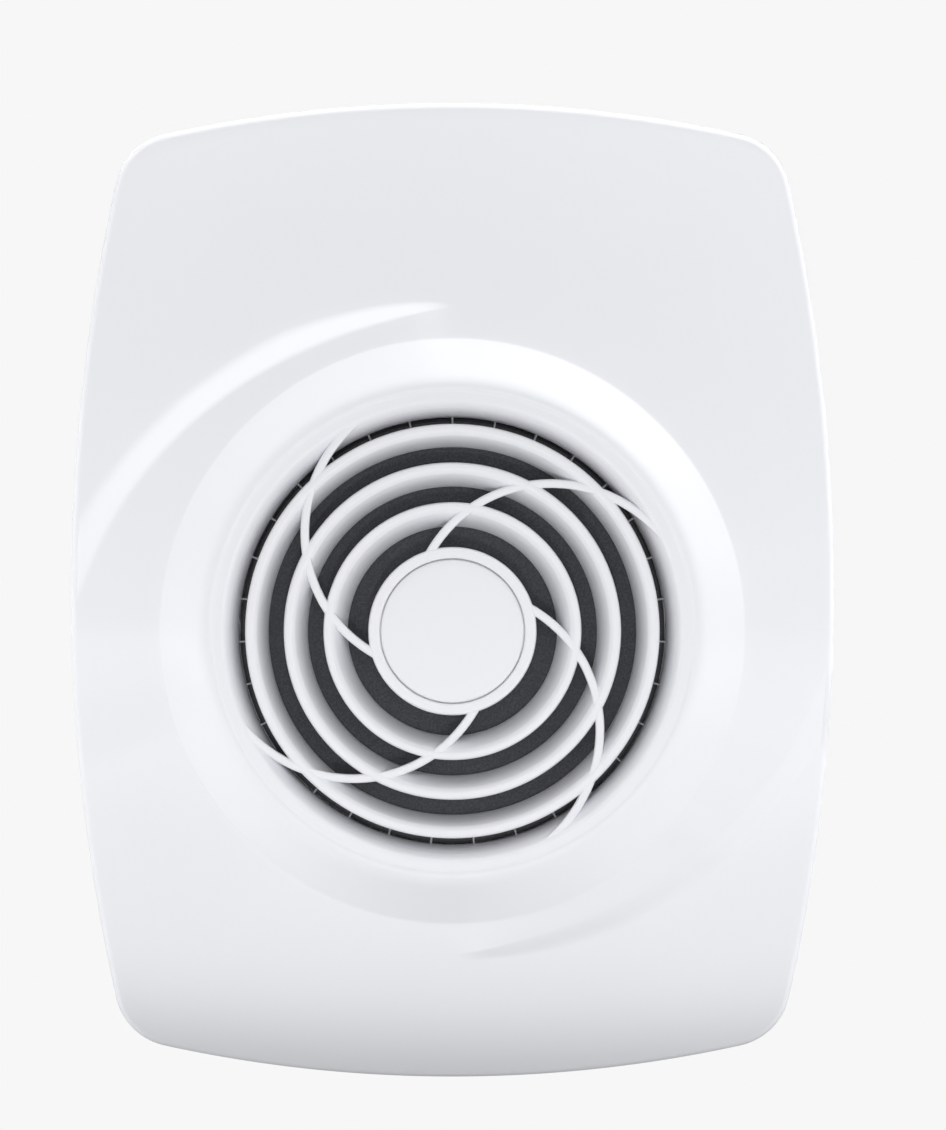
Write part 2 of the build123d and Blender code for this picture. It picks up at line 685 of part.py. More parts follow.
with BuildPart() as supply_scroll:
    with BuildSketch(front(12.0)):
        scroll_face(1.6)
    extrude(amount=14.5)
    with BuildSketch(front(13.5)):
        scroll_face(0)
        with Locations((-71.5, BZ + 41)):
            Rectangle(20.9, 6.0)
    extrude(amount=14.5, mode=Mode.SUBTRACT)
    with BuildSketch(front(12.0)):
        for lx, lz in LUGS:
            d = math.hypot(BX - lx, BZ - lz)
            ux, uz = (BX - lx) / d, (BZ - lz) / d
            with Locations(Location((lx + 3.6 * ux, lz + 3.6 * uz, 0), (0, 0, 1), math.degrees(math.atan2(uz, ux)))):
                SlotOverall(14.4, 7.2)
    extrude(amount=1.5)
    with BuildSketch(front(11)):
        with Locations((BX, BZ)):
            Circle(20.0)
        with Locations(*LUGS):
            Circle(1.5)
    extrude(amount=4, mode=Mode.SUBTRACT)
save(supply_scroll.part, "supply_scroll")

with BuildPart() as supply_scroll_cover:
    with BuildSketch(front(26.5)):
        scroll_face(1.6)
    extrude(amount=1.5)
    revolve(blow_profile([(2.6, 17.8), (4.0, 17.8), (4.0, 26.6), (2.6, 26.6)]), axis=BLOW_AXIS)
    with BuildSketch(front(26)):
        with Locations((BX + 7.3, BZ)):
            SlotOverall(3.6, 2.6)
    extrude(amount=3, mode=Mode.SUBTRACT)
save(supply_scroll_cover.part, "supply_scroll_cover")

with BuildPart() as supply_impeller:
    revolve(blow_profile([(12.2, 24.9), (12.2, 16.4), (0, 16.4), (0, 15.2), (12.6, 15.2), (13.4, 16.0), (13.4, 23.6),
                  (27.0, 23.6), (27.0, 24.9)]), axis=BLOW_AXIS)
    revolve(blow_profile([(24.0, 14.6), (27.0, 14.6), (27.0, 15.5), (24.0, 15.5)]), axis=BLOW_AXIS)
    with BuildSketch(front(14.8)):
        with Locations((BX, BZ)):
            for k in range(30):
                a = 12.0 * k
                with Locations(Location((24.0 * math.cos(math.radians(a)), 24.0 * math.sin(math.radians(a)), 0),
                                        (0, 0, 1), a + 28)):
                    Rectangle(5.8, 0.8)
    extrude(amount=9.2)
save(supply_impeller.part, "supply_impeller")

with BuildPart() as supply_rotor_cup:
    revolve(blow_profile([(11.2, 24.6), (12.1, 24.6), (12.1, 16.5), (1.02, 16.5), (1.02, 17.3), (11.2, 17.3)]), axis=BLOW_AXIS)
save(supply_rotor_cup.part, "supply_rotor_cup")

with BuildPart() as supply_magnet_ring:
    revolve(blow_profile([(10.0, 17.6), (11.15, 17.6), (11.15, 24.4), (10.0, 24.4)]), axis=BLOW_AXIS)
save(supply_magnet_ring.part, "supply_magnet_ring")

with BuildPart() as supply_shaft:
    revolve(blow_profile([(0, 16.5), (1.0, 16.5), (1.0, 25.6), (0, 25.6)]), axis=BLOW_AXIS)
save(supply_shaft.part, "supply_shaft")

with BuildPart() as supply_bearings:
    for f0, f1 in ((18.2, 20.4), (23.0, 25.2)):
        revolve(blow_profile([(1.04, f0), (2.57, f0), (2.57, f1), (1.04, f1)]), axis=BLOW_AXIS)
save(supply_bearings.part, "supply_bearings")

with BuildPart() as supply_stator:
    with BuildSketch(front(18.4)):
        with Locations((BX, BZ)):
            Circle(6.2)
            with PolarLocations(7.4, 4):
                Rectangle(3.0, 2.6)
            with PolarLocations(8.6, 4):
                Rectangle(1.2, 6.0)
            Circle(4.05, mode=Mode.SUBTRACT)
    extrude(amount=5.4)
save(supply_stator.part, "supply_stator")

with BuildPart() as supply_windings:
    for k in range(4):
        with BuildSketch(front(17.9)):
            with Locations((BX, BZ)):
                with PolarLocations(7.02, 1, start_angle=90 * k):
                    Rectangle(1.5, 5.0)
        extrude(amount=6.4)
    with BuildSketch(front(18.35)):
        with Locations((BX, BZ)):
            with PolarLocations(7.4, 4):
                Rectangle(3.4, 2.7)
            Circle(6.25)
    extrude(amount=5.5, mode=Mode.SUBTRACT)
save(supply_windings.part, "supply_windings")

with BuildPart() as supply_blower_screws:
    pan_screws(LUGS, 13.5, 7.5, 1.15, 2.8, 1.8)
save(supply_blower_screws.part, "supply_blower_screws")

# ============================================================ ELECTRONICS
BXC, BZC = (BOX_X0 + BOX_X1) / 2, (BOX_Z0 + BOX_Z1) / 2
BW, BH = BOX_X1 - BOX_X0, BOX_Z1 - BOX_Z0
LID_SCREWS = [(BOX_X0 + 4.2, BOX_Z0 + 4.2), (BOX_X1 - 4.2, BOX_Z1 - 4.2)]
TRIMMERS = [(62.0, 92.0), (72.0, 92.0)]
SENSOR = (80.6, 92.5)
CLAMP = (54.0, 129.0)
with BuildPart() as electronics_box:
    with BuildSketch(front(PLATE_T)):
        with Locations((BXC, BZC)):
            RectangleRounded(BW, BH, 3)
    extrude(amount=18.0)
    with BuildSketch(front(PLATE_T + 1.6)):
        with Locations((BXC, BZC)):
            RectangleRounded(BW - 3.2, BH - 3.2, 1.6)
    extrude(amount=18.0, mode=Mode.SUBTRACT)
    with BuildSketch(front(PLATE_T + 1.6)):
        with Locations((20, 89), (80, 89), (20, 117), (80, 117)):
            Circle(2.4)
    extrude(amount=3.4)
    with BuildSketch(front(PLATE_T + 1.6)):
        with Locations(*LID_SCREWS):
            Circle(3.2)
    extrude(amount=16.4)
    with BuildSketch(front(PLATE_T + 1.6)):
        with Locations((CLAMP[0] - 8.5, CLAMP[1]), (CLAMP[0] + 8.5, CLAMP[1])):
            Circle(2.6)
    extrude(amount=4.4)
    with BuildSketch(front(PLATE_T)):
        with Locations((CABLE_X, CABLE_Z)):
            Circle(7.0)
    extrude(amount=3, mode=Mode.SUBTRACT)
    with BuildSketch(front(PLATE_T + 6)):
        with Locations(*LID_SCREWS):
            Circle(1.2)
    extrude(amount=14, mode=Mode.SUBTRACT)
    with BuildSketch(Plane.XY.offset(BOX_Z0 - 1)):
        with Locations((33.0, -16.0)):
            Circle(1.15)
    extrude(amount=4, mode=Mode.SUBTRACT)
    with BuildSketch(Plane.YZ.offset(BOX_X0 - 1)):
        with Locations((-16.0, 104.0)):
            Circle(1.15)
    extrude(amount=4, mode=Mode.SUBTRACT)
    with BuildSketch(front(PLATE_T + 2.2)):
        with Locations((CLAMP[0] - 8.5, CLAMP[1]), (CLAMP[0] + 8.5, CLAMP[1])):
            Circle(1.1)
    extrude(amount=8, mode=Mode.SUBTRACT)
save(electronics_box.part, "electronics_box")

with BuildPart() as electronics_lid:
    with BuildSketch(front(21.0)):
        with Locations((BXC, BZC)):
            RectangleRounded(BW, BH, 3)
        with Locations(*TRIMMERS):
            Circle(3.7, mode=Mode.SUBTRACT)
        for dx in (-3.0, -1.0, 1.0, 3.0):
            with Locations((SENSOR[0] + dx, SENSOR[1])):
                Rectangle(1.0, 9.0, mode=Mode.SUBTRACT)
        with Locations(*LID_SCREWS):
            Circle(1.6, mode=Mode.SUBTRACT)
    extrude(amount=1.8)
    with BuildSketch(front(19.6)):
        with Locations((BXC, BZC)):
            RectangleRounded(BW - 3.6, BH - 3.6, 1.4)
            RectangleRounded(BW - 6.0, BH - 6.0, 1.0, mode=Mode.SUBTRACT)
        with Locations(*LID_SCREWS):
            Circle(4.2, mode=Mode.SUBTRACT)
    extrude(amount=1.5)
save(electronics_lid.part, "electronics_lid")

with BuildPart() as lid_screws:
    pan_screws(LID_SCREWS, 22.8, 10.0, 1.15, 2.7, 1.7)
save(lid_screws.part, "lid_screws")

with BuildPart() as circuit_board:
    with BuildSketch(front(8.0)):
        with Locations((49.0, 102.0)):
            Rectangle(73.0, 38.0)
        with Locations(LID_SCREWS[0]):
            Circle(4.4, mode=Mode.SUBTRACT)
    extrude(amount=1.6)
save(circuit_board.part, "circuit_board")

with BuildPart() as terminal_block:
    with BuildSketch(front(9.6)):
        with Locations((70.5, 112.5)):
            Rectangle(25.5, 13.0)
    extrude(amount=10.0)
    chamfer(edges().filter_by(Axis.X).group_by(Axis.Y)[0], 1.6)
    with BuildSketch(front(13.0)):
        with Locations((62.0, 111.5), (70.5, 111.5), (79.0, 111.5)):
            Circle(2.3)
    extrude(amount=8, mode=Mode.SUBTRACT)
    with BuildSketch(Plane.XY.offset(114)):
        with Locations((62.0, -12.8), (70.5, -12.8), (79.0, -12.8)):
            Rectangle(4.4, 4.0)
    extrude(amount=6, mode=Mode.SUBTRACT)
save(terminal_block.part, "terminal_block")

with BuildPart() as terminal_screws:
    with BuildSketch(front(13.0)):
        with Locations((62.0, 111.5), (70.5, 111.5), (79.0, 111.5)):
            Circle(2.1)
    extrude(amount=4.2)
    with BuildSketch(front(16.4)):
        with Locations((62.0, 111.5), (70.5, 111.5), (79.0, 111.5)):
            Rectangle(4.4, 0.7)
    extrude(amount=2, mode=Mode.SUBTRACT)
save(terminal_screws.part, "terminal_screws")

with BuildPart() as power_module:
    with BuildSketch(front(9.6)):
        with Locations((28.5, 110.0)):
            Rectangle(25.0, 17.0)
    extrude(amount=9.6)
    fillet(edges().group_by(Axis.Y)[0], 0.8)
save(power_module.part, "power_module")

with BuildPart() as relay:
    with BuildSketch(front(9.6)):
        with Locations((49.5, 110.0)):
            Rectangle(9.5, 18.0)
    extrude(amount=9.4)
    fillet(edges().group_by(Axis.Y)[0], 0.5)
save(relay.part, "relay")

with BuildPart() as capacitors:
    with BuildSketch(front(9.6)):
        with Locations((24.0, 92.0), (35.0, 92.0)):
            Circle(4.6)
        with Locations((44.0, 90.5)):
            Circle(2.8)
    extrude(amount=9.2)
    fillet(edges().filter_by(GeomType.CIRCLE).group_by(Axis.Y)[0], 0.6)
save(capacitors.part, "capacitors")

with BuildPart() as control_chip:
    with BuildSketch(front(9.9)):
        with Locations((53.0, 91.0)):
            Rectangle(7.0, 5.0)
    extrude(amount=1.5)
    with BuildSketch(front(9.6)):
        with Locations((53.0, 91.0)):
            with GridLocations(1.6, 6.6, 4, 2):
                Rectangle(0.6, 2.4)
    extrude(amount=0.8)
save(control_chip.part, "control_chip")

with BuildPart() as humidity_sensor:
    with BuildSketch(front(9.6)):
        with Locations(SENSOR):
            Rectangle(8.0, 9.6)
    extrude(amount=8.0)
    with BuildSketch(front(13.6)):
        for dx in (-2.4, -0.8, 0.8, 2.4):
            with Locations((SENSOR[0] + dx, SENSOR[1])):
                Rectangle(0.8, 7.0)
    extrude(amount=6, mode=Mode.SUBTRACT)
save(humidity_sensor.part, "humidity_sensor")

with BuildPart() as trimmer_bases:
    with BuildSketch(front(9.6)):
        with Locations(*TRIMMERS):
            Rectangle(7.6, 7.6)
    extrude(amount=5.4)
    with BuildSketch(front(10.6)):
        with Locations(*TRIMMERS):
            Circle(1.45)
    extrude(amount=6, mode=Mode.SUBTRACT)
save(trimmer_bases.part, "trimmer_bases")

for (tx, tz), knob in zip(TRIMMERS, ("timer_knob", "humidity_knob")):
    with BuildPart() as trimmer_knob:
        with BuildSketch(front(11.0)):
            with Locations((tx, tz)):
                Circle(1.4)
        extrude(amount=6.0)
        with BuildSketch(front(15.4)):
            with Locations((tx, tz)):
                Circle(2.0)
        extrude(amount=3.2)
        with BuildSketch(front(18.4)):
            with Locations((tx, tz)):
                Circle(3.3)
        extrude(amount=5.2)
        with BuildSketch(front(22.4)):
            with Locations((tx, tz)):
                Rectangle(0.9, 5.0)
            with Locations((tx, tz + 1.2)):
                Rectangle(2.6, 0.9)
        extrude(amount=2, mode=Mode.SUBTRACT)
    save(trimmer_knob.part, knob)

with BuildPart() as cable_grommet:
    with BuildSketch(front(0.0)):
        with Locations((CABLE_X, CABLE_Z)):
            Circle(6.9)
    extrude(amount=4.6)
    with BuildSketch(front(4.6)):
        with Locations((CABLE_X, CABLE_Z)):
            Circle(8.6)
    extrude(amount=1.6)
    with BuildSketch(front(-1)):
        with Locations((CABLE_X, CABLE_Z)):
            Circle(4.0)
    extrude(amount=8, mode=Mode.SUBTRACT)
save(cable_grommet.part, "cable_grommet")

with BuildPart() as cable_clamp:
    with BuildSketch(front(9.2)):
        with Locations(CLAMP):
            SlotOverall(24.0, 7.0)
        with Locations((CLAMP[0] - 8.5, CLAMP[1]), (CLAMP[0] + 8.5, CLAMP[1])):
            Circle(1.5, mode=Mode.SUBTRACT)
    extrude(amount=2.4)
save(cable_clamp.part, "cable_clamp")

with BuildPart() as clamp_screws:
    pan_screws([(CLAMP[0] - 8.5, CLAMP[1]), (CLAMP[0] + 8.5, CLAMP[1])], 11.6, 6.0, 1.05, 2.4, 1.6)
save(clamp_screws.part, "clamp_screws")


# ============================================================ FAN LEADS
def lead(points, radius, name):
    """A round two-core lead held along its whole route: straight runs and tangent arcs."""
    pts = [Vector(*p) for p in points]
    radii = []
    for a, b, c in zip(pts, pts[1:], pts[2:]):
        turn = math.radians((b - a).get_angle(c - b))
        radii.append(0.45 * min((b - a).length, (c - b).length) / math.tan(turn / 2))
    with BuildPart() as tube:
        with BuildLine():
            route = FilletPolyline(*pts, radius=radii)
        with BuildSketch(Plane(origin=route @ 0, z_dir=route % 0)):
            Circle(radius)
        sweep()
    print(name, "length", round(route.length, 1), "volume share",
          round(tube.part.volume / (math.pi * radius**2 * route.length), 4), "radii", [round(r, 1) for r in radii])
    save(tube.part, name)


lead([(11.0 * CA, -5.0, 11.0 * SA), (51.0 * CA, -5.0, 51.0 * SA), (51.5, -9.5, 22.5), (53.5, -15.0, 30.0),
      (54.0, -16.5, 41.0), (50.0, -16.5, 56.0), (40.0, -16.5, 67.0), (33.0, -16.0, 74.5), (33.0, -16.0, 85.0)],
     1.0, "extract_lead")
lead([(BX + 7.0, -24.4, BZ), (BX + 7.0, -29.1, BZ), (-20.0, -29.1, BZ), (-2.6, -29.0, 107.0), (2.4, -22.0, 105.0),
      (6.0, -16.2, 104.0), (15.0, -16.0, 104.0)], 1.0, "supply_lead")
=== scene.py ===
import bpy
import bmesh
import json
import math
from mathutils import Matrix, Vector, noise


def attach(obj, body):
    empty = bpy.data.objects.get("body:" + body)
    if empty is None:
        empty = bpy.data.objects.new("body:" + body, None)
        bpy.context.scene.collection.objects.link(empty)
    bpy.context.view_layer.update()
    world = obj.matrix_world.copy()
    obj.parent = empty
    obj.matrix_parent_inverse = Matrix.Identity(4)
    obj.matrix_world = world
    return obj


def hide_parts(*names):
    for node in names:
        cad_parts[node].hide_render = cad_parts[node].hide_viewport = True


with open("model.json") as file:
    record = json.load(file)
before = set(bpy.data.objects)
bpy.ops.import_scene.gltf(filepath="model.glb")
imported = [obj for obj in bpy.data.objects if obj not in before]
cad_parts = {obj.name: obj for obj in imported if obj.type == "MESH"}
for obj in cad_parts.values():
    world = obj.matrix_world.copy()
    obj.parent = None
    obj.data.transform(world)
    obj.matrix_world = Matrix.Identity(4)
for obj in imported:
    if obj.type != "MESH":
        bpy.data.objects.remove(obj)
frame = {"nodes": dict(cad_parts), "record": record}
NODES = frame["nodes"]
scene = bpy.context.scene
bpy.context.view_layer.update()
MM = 0.001

# ------------------------------------------------------------------ dimensions, in mm
COVER_W, COVER_H, COVER_CZ = 234.8, 300.0, 12.6
SIDE_BOW, TOP_BOW, CORNER_R = 583.0, 417.0, 19.5
SKIN, SKIRT_REAR, EDGE_R = 2.5, 9.0, 2.0
CREST_F, CREST_R, BASE_R = 50.5, 75.0, 90.1
GRILLE_F = 49.5
LOUVRE_REAR = 38.0
TUCK, TUCK_DROP = 25.0, 1.4  # the face turns down a little more over its last stretch at the bottom
SLOPE = 0.5  # height of the swoosh's step over its width


def smooth(t):
    t = max(0.0, min(1.0, t))
    return t * t * (3 - 2 * t)


def dome(x, z):
    u = abs(x) / (COVER_W / 2)
    v = abs(z - COVER_CZ) / (COVER_H / 2)
    w = max(0.0, COVER_CZ - COVER_H / 2 + TUCK - z) / TUCK
    return 45.0 - 6.5 * u**2.2 - 12.0 * v**2.2 - TUCK_DROP * w * w


# the swoosh's step: inner and outer radius of its slope at each angle from the top, turning left
STEP = ((0, 99.5, 100.6), (4, 98.7, 101.2), (8, 98.0, 101.6), (12, 97.4, 102.0), (16, 97.2, 102.4), (20, 97.2, 102.9), (25, 97.4, 103.9),
        (30, 98.0, 105.0), (35, 98.7, 105.8), (40, 99.7, 106.8), (45, 100.8, 108.0), (50, 102.2, 109.8), (55, 103.7, 111.3),
        (60, 105.4, 113.3), (65, 107.3, 115.4), (70, 109.2, 117.7), (75, 111.3, 120.0), (80, 113.5, 122.6), (85, 116.2, 125.4),
        (90, 119.0, 128.6), (100, 126.0, 134.0), (110, 134.3, 139.8), (180, 215.0, 225.0))


def step_at(a):
    for (a0, i0, o0), (a1, i1, o1) in zip(STEP, STEP[1:]):
        if a <= a1:
            t = (a - a0) / (a1 - a0)
            r_in, r_out = i0 + (i1 - i0) * t, o0 + (o1 - o0) * t
            break
    h = SLOPE * (r_out - r_in) * smooth((a + 1) / 8) if a < 85 else SLOPE * (r_out - r_in) * (1 - smooth((a - 85) / 60))
    return r_in, r_out, h


HEAD, FOOT = 0.14, 0.22  # how far the step's top and bottom edges are rounded, over its width


def ease(u):
    """0 to 1 across the step: a straight slope with both its edges rounded."""
    if u <= -HEAD or u >= 1 + FOOT:
        return 0.0 if u < 0 else 1.0
    if u < HEAD:
        return (u + HEAD) ** 2 / (4 * HEAD)
    if u > 1 - FOOT:
        return 1 - (1 + FOOT - u) ** 2 / (4 * FOOT)
    return u


def face_f(x, z):
    r = math.hypot(x, z)
    a = (math.degrees(math.atan2(z, x)) - 90) % 180
    r_in, r_out, h = step_at(a)
    u = (r - r_in) / (r_out - r_in)
    if x > 0:
        return dome(x, z) + 1.12 * h * (1 - smooth((u + 0.08) / 1.16))
    return dome(x, z) + h * (1 - ease(u))


# ------------------------------------------------------------------ mesh helpers
def make(name, verts, faces, body, mat, slot=None, sharp=32.0, flip_check=True):
    """A mesh from points (x, front distance, z) in mm."""
    me = bpy.data.meshes.new(name)
    me.from_pydata([(x * MM, -f * MM, z * MM) for x, f, z in verts], [], faces)
    bm = bmesh.new()
    bm.from_mesh(me)
    bmesh.ops.remove_doubles(bm, verts=bm.verts, dist=1e-6)
    bmesh.ops.recalc_face_normals(bm, faces=bm.faces)
    bm.to_mesh(me)
    bm.free()
    me.shade_smooth()
    if sharp:
        me.set_sharp_from_angle(angle=math.radians(sharp))
    ob = bpy.data.objects.new(name, me)
    scene.collection.objects.link(ob)
    ob.data.materials.append(mat)
    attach(ob, body)
    return ob


def rounded(points, n=5):
    """Points (r, f, fillet) of a closed profile, with its corners rounded."""
    out = []
    m = len(points)
    for i in range(m):
        p0, p1, p2 = Vector(points[i - 1][:2]), Vector(points[i][:2]), Vector(points[(i + 1) % m][:2])
        rad = points[i][2] if len(points[i]) > 2 else 0
        a, b = (p0 - p1), (p2 - p1)
        if rad <= 0 or a.length < 1e-6 or b.length < 1e-6:
            out.append((p1.x, p1.y))
            continue
        ang = a.angle(b)
        if ang > math.pi - 0.02:
            out.append((p1.x, p1.y))
            continue
        d = min(rad / math.tan(ang / 2), a.length * 0.48, b.length * 0.48)
        s, e = p1 + a.normalized() * d, p1 + b.normalized() * d
        for k in range(n + 1):
            t = k / n
            q = s * (1 - t) ** 2 + p1 * (2 * t * (1 - t)) + e * t**2
            out.append((q.x, q.y))
    return out


def lathe_data(profile, steps, cx=0.0, cz=0.0, closed=True):
    verts, faces, rows = [], [], []
    for r, f in profile:
        if r < 1e-6:
            rows.append([len(verts)])
            verts.append((cx, f, cz))
        else:
            rows.append(list(range(len(verts), len(verts) + steps)))
            for i in range(steps):
                t = 2 * math.pi * i / steps
                verts.append((cx + r * math.cos(t), f, cz + r * math.sin(t)))
    pairs = list(zip(rows, rows[1:])) + ([(rows[-1], rows[0])] if closed else [])
    for a, b in pairs:
        for i in range(steps):
            j = (i + 1) % steps
            if len(a) == 1 and len(b) == 1:
                continue
            if len(a) == 1:
                faces.append((a[0], b[i], b[j]))
            elif len(b) == 1:
                faces.append((a[i], a[j], b[0]))
            else:
                faces.append((a[i], a[j], b[j], b[i]))
    return verts, faces


def join(parts):
    verts, faces = [], []
    for v, f in parts:
        k = len(verts)
        verts += v
        faces += [tuple(i + k for i in q) for q in f]
    return verts, faces


def sweep_data(path, section, tangents=None):
    """A section (across, f) carried along a path of (x, z) points."""
    verts, faces = [], []
    n, m = len(path), len(section)
    for i, p in enumerate(path):
        d = (path[min(i + 1, n - 1)] - path[max(i - 1, 0)]).normalized()
        s = Vector((-d.y, d.x))
        for a, f in section:
            q = p + s * a
            verts.append((q.x, f, q.y))
    for i in range(n - 1):
        for k in range(m):
            l = (k + 1) % m
            faces.append((i * m + k, i * m + l, (i + 1) * m + l, (i + 1) * m + k))
    faces.append(tuple(range(m)))
    faces.append(tuple((n - 1) * m + k for k in range(m)))
    return verts, faces


# ------------------------------------------------------------------ materials
def new_mat(name):
    m = bpy.data.materials.new(name)
    m.use_nodes = True
    nt = m.node_tree
    return m, nt, nt.nodes["Principled BSDF"]


def coords(nt, scale=(1, 1, 1), rot=(0, 0, 0)):
    tc = nt.nodes.new("ShaderNodeTexCoord")
    mp = nt.nodes.new("ShaderNodeMapping")
    mp.inputs["Scale"].default_value = scale
    mp.inputs["Rotation"].default_value = rot
    nt.links.new(tc.outputs["Object"], mp.inputs["Vector"])
    return mp.outputs["Vector"]


def noise_node(nt, vec, scale, detail=3.0, rough=0.5):
    n = nt.nodes.new("ShaderNodeTexNoise")
    n.inputs["Scale"].default_value = scale
    n.inputs["Detail"].default_value = detail
    n.inputs["Roughness"].default_value = rough
    nt.links.new(vec, n.inputs["Vector"])
    return n.outputs["Fac"]


def ramp(nt, fac, stops):
    r = nt.nodes.new("ShaderNodeValToRGB")
    nt.links.new(fac, r.inputs["Fac"])
    els = r.color_ramp.elements
    while len(els) < len(stops):
        els.new(0.5)
    for e, (p, c) in zip(els, stops):
        e.position = p
        e.color = (*c, 1)
    return r.outputs["Color"]


def span(nt, fac, lo, hi, a=0.3, b=0.7):
    m = nt.nodes.new("ShaderNodeMapRange")
    m.inputs["From Min"].default_value, m.inputs["From Max"].default_value = a, b
    m.inputs["To Min"].default_value, m.inputs["To Max"].default_value = lo, hi
    nt.links.new(fac, m.inputs["Value"])
    return m.outputs["Result"]


def bump(nt, bsdf, height, strength, distance=0.0002, into=None):
    b = nt.nodes.new("ShaderNodeBump")
    b.inputs["Strength"].default_value = strength
    b.inputs["Distance"].default_value = distance
    nt.links.new(height, b.inputs["Height"])
    if into is not None:
        nt.links.new(into, b.inputs["Normal"])
    nt.links.new(b.outputs["Normal"], bsdf.inputs["Normal"])
    return b.outputs["Normal"]


def scaled(c, k):
    return tuple(min(1.0, x * k) for x in c)


def moulded(name, color, rough=(0.3, 0.38), vary=0.015, grain=900.0, depth=0.00004, strength=0.25, spec=0.5, coat=0.0):
    """Injection-moulded plastic: cloudy tone, uneven gloss and a fine spark-eroded grain."""
    m, nt, b = new_mat(name)
    v = coords(nt)
    cloud = noise_node(nt, v, 9.0, 4.0)
    nt.links.new(ramp(nt, cloud, [(0.3, scaled(color, 1 - vary)), (0.7, scaled(color, 1 + vary))]), b.inputs["Base Color"])
    gloss = noise_node(nt, v, 38.0, 5.0, 0.6)
    nt.links.new(span(nt, gloss, *rough), b.inputs["Roughness"])
    fine = noise_node(nt, v, grain, 2.0)
    bump(nt, b, fine, strength, depth)
    b.inputs["Specular IOR Level"].default_value = spec
    b.inputs["Coat Weight"].default_value = coat
    b.inputs["Coat Roughness"].default_value = 0.12
    return m


def metal(name, color, rough=(0.28, 0.42), stretch=(1, 60, 1), scale=40.0, strength=0.2):
    m, nt, b = new_mat(name)
    v = coords(nt, stretch)
    n = noise_node(nt, v, scale, 5.0, 0.6)
    nt.links.new(ramp(nt, n, [(0.3, scaled(color, 0.86)), (0.7, scaled(color, 1.08))]), b.inputs["Base Color"])
    nt.links.new(span(nt, n, *rough), b.inputs["Roughness"])
    bump(nt, b, n, strength, 0.00003)
    b.inputs["Metallic"].default_value = 1.0
    return m


def foam(name, dark, light, cell=900.0, rough=0.92, depth=0.0008, strength=0.8):
    """Open-cell foam: rounded pores a millimetre or so across."""
    m, nt, b = new_mat(name)
    v = coords(nt)
    vor = nt.nodes.new("ShaderNodeTexVoronoi")
    vor.feature = "SMOOTH_F1"
    vor.inputs["Scale"].default_value = cell
    nt.links.new(v, vor.inputs["Vector"])
    d = vor.outputs["Distance"]
    nt.links.new(ramp(nt, d, [(0.18, dark), (0.62, light)]), b.inputs["Base Color"])
    bump(nt, b, d, strength, depth)
    b.inputs["Roughness"].default_value = rough
    b.inputs["Specular IOR Level"].default_value = 0.2
    return m


def board(name):
    """Solder-masked laminate with faint tracks and vias."""
    m, nt, b = new_mat(name)
    v = coords(nt, (1, 0.001, 1))
    br = nt.nodes.new("ShaderNodeTexBrick")
    br.inputs["Scale"].default_value = 150.0
    br.inputs["Mortar Size"].default_value = 0.06
    br.inputs["Color1"].default_value = (0.012, 0.13, 0.05, 1)
    br.inputs["Color2"].default_value = (0.016, 0.16, 0.06, 1)
    br.inputs["Mortar"].default_value = (0.05, 0.32, 0.12, 1)
    rot = coords(nt, (1, 1, 1), (math.radians(90), 0, 0))
    nt.links.new(rot, br.inputs["Vector"])
    vor = nt.nodes.new("ShaderNodeTexVoronoi")
    vor.inputs["Scale"].default_value = 170.0
    nt.links.new(v, vor.inputs["Vector"])
    mix = nt.nodes.new("ShaderNodeMix")
    mix.data_type = "RGBA"
    nt.links.new(span(nt, vor.outputs["Distance"], 1.0, 0.0, 0.10, 0.13), mix.inputs["Factor"])
    nt.links.new(br.outputs["Color"], mix.inputs["A"])
    mix.inputs["B"].default_value = (0.62, 0.6, 0.5, 1)
    nt.links.new(mix.outputs["Result"], b.inputs["Base Color"])
    nt.links.new(span(nt, vor.outputs["Distance"], 0.25, 0.42, 0.1, 0.3), b.inputs["Roughness"])
    return m


def wire_mesh(name):
    m, nt, b = new_mat(name)
    v = coords(nt, (1, 1, 1))
    w = nt.nodes.new("ShaderNodeTexWave")
    w.inputs["Scale"].default_value = 420.0
    w.bands_direction = "DIAGONAL"
    nt.links.new(v, w.inputs["Vector"])
    nt.links.new(ramp(nt, w.outputs["Fac"], [(0.2, (0.3, 0.3, 0.31)), (0.8, (0.6, 0.6, 0.61))]), b.inputs["Base Color"])
    bump(nt, b, w.outputs["Fac"], 0.4, 0.0001)
    b.inputs["Metallic"].default_value = 0.9
    b.inputs["Roughness"].default_value = 0.4
    return m


def pvc(name, color):
    """Extruded pipe: long die lines along the duct, a dull dry surface and light scuffs."""
    m, nt, b = new_mat(name)
    v = coords(nt, (1, 0.02, 1))
    lines = noise_node(nt, v, 420.0, 3.0)
    w = coords(nt, (1, 1, 1))
    scuff = noise_node(nt, w, 26.0, 6.0, 0.7)
    nt.links.new(ramp(nt, scuff, [(0.35, scaled(color, 0.93)), (0.65, scaled(color, 1.03))]), b.inputs["Base Color"])
    nt.links.new(span(nt, scuff, 0.38, 0.6), b.inputs["Roughness"])
    bump(nt, b, lines, 0.3, 0.0001)
    return m


